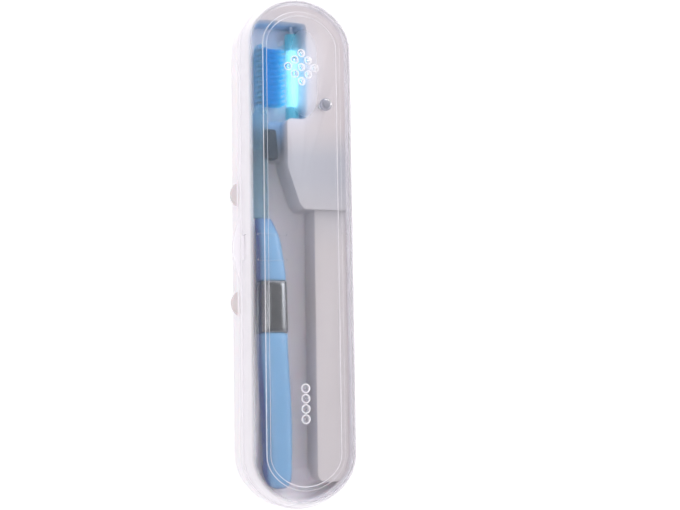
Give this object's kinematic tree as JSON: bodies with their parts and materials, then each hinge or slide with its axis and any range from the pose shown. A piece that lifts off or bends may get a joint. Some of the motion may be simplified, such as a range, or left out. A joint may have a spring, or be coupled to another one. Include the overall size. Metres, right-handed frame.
{
  "type": "uv toothbrush case",
  "caption": "Flat travel case for one toothbrush, with a frosted hinged lid and a small ultraviolet lamp beside the bristles, run from cells under a door in the back.",
  "frame": {"origin": "middle of the flat back, on the surface that the case lies on", "axes": "+Z out of the back towards the lid, +Y towards the brush head, +X towards the hinge"},
  "size_m": [0.0558, 0.2154, 0.024],
  "materials": {
    "shell_white": "satin moulded, faintly translucent",
    "lid_frost": "frosted clear",
    "button_clear": "glossy",
    "cover_pale": "fine matte",
    "clip_slate": "matte",
    "plunger_white": "matte",
    "steel": "plain",
    "nickel": "nickel plated",
    "cell_jacket": "satin jacket, unmarked",
    "board_green": "solder resist",
    "ferrite": "sintered",
    "copper": "enamelled wire",
    "capacitor_blue": "dipped",
    "black_plastic": "moulded",
    "lead_white": "insulation",
    "lead_red": "insulation",
    "lead_black": "insulation",
    "lamp_glass": "clear quartz, lit cyan",
    "boot_rubber": "silicone",
    "handle_blue": "satin",
    "band_metal": "brushed",
    "neck_clear": "smoky clear",
    "bristle_blue": "nylon"
  },
  "bodies": {
    "base": {"base_shell": "shell_white", "inner_cover": "cover_pale", "hinge_pin": "steel", "neck_clip": "clip_slate", "cover_screw_head": "steel", "cover_screw_bay": "steel", "cover_screw_middle": "steel", "cover_screw_foot": "steel", "battery_cell_rear": "cell_jacket", "battery_cell_front": "cell_jacket", "battery_spring": "nickel", "battery_plate": "nickel", "circuit_board": "board_green", "transformer_core": "ferrite", "transformer_winding": "copper", "capacitor": "capacitor_blue", "timer_chip": "black_plastic", "switch_body": "black_plastic", "lamp_lead_foot": "lead_white", "lamp_lead_head": "lead_white", "battery_lead_plus": "lead_red", "battery_lead_minus": "lead_black", "uv_lamp": "lamp_glass", "lamp_boot_head": "boot_rubber", "lamp_boot_foot": "boot_rubber", "brush_handle": "handle_blue", "brush_band": "band_metal", "brush_neck": "neck_clear", "bristles": "bristle_blue"},
    "lid": {"lid_shell": "lid_frost"},
    "button": {"push_button": "button_clear"},
    "plunger": {"switch_plunger": "plunger_white"},
    "door": {"battery_door": "shell_white"}
  },
  "joints": [
    {"name": "lid_hinge", "type": "hinge", "parent": "base", "child": "lid", "pos_m": [0.026, 0, 0.0074], "axis": [0, 1, 0], "range_deg": [0, 120]},
    {"name": "button_press", "type": "slide", "parent": "lid", "child": "button", "axis": [0, 0, -1], "range_m": [0, 0.0008], "stiffness_N_per_m": 300},
    {"name": "plunger_press", "type": "slide", "parent": "base", "child": "plunger", "axis": [0, 0, -1], "range_m": [0, 0.0008], "stiffness_N_per_m": 300},
    {"name": "battery_door_tilt", "type": "hinge", "parent": "base", "child": "door", "pos_m": [0.01505, 0.0049, 0], "axis": [1, 0, 0], "range_deg": [0, 45]}
  ],
  "couplings": [
    {"joint": "plunger_press", "follows": "button_press", "ratio": 1}
  ]
}
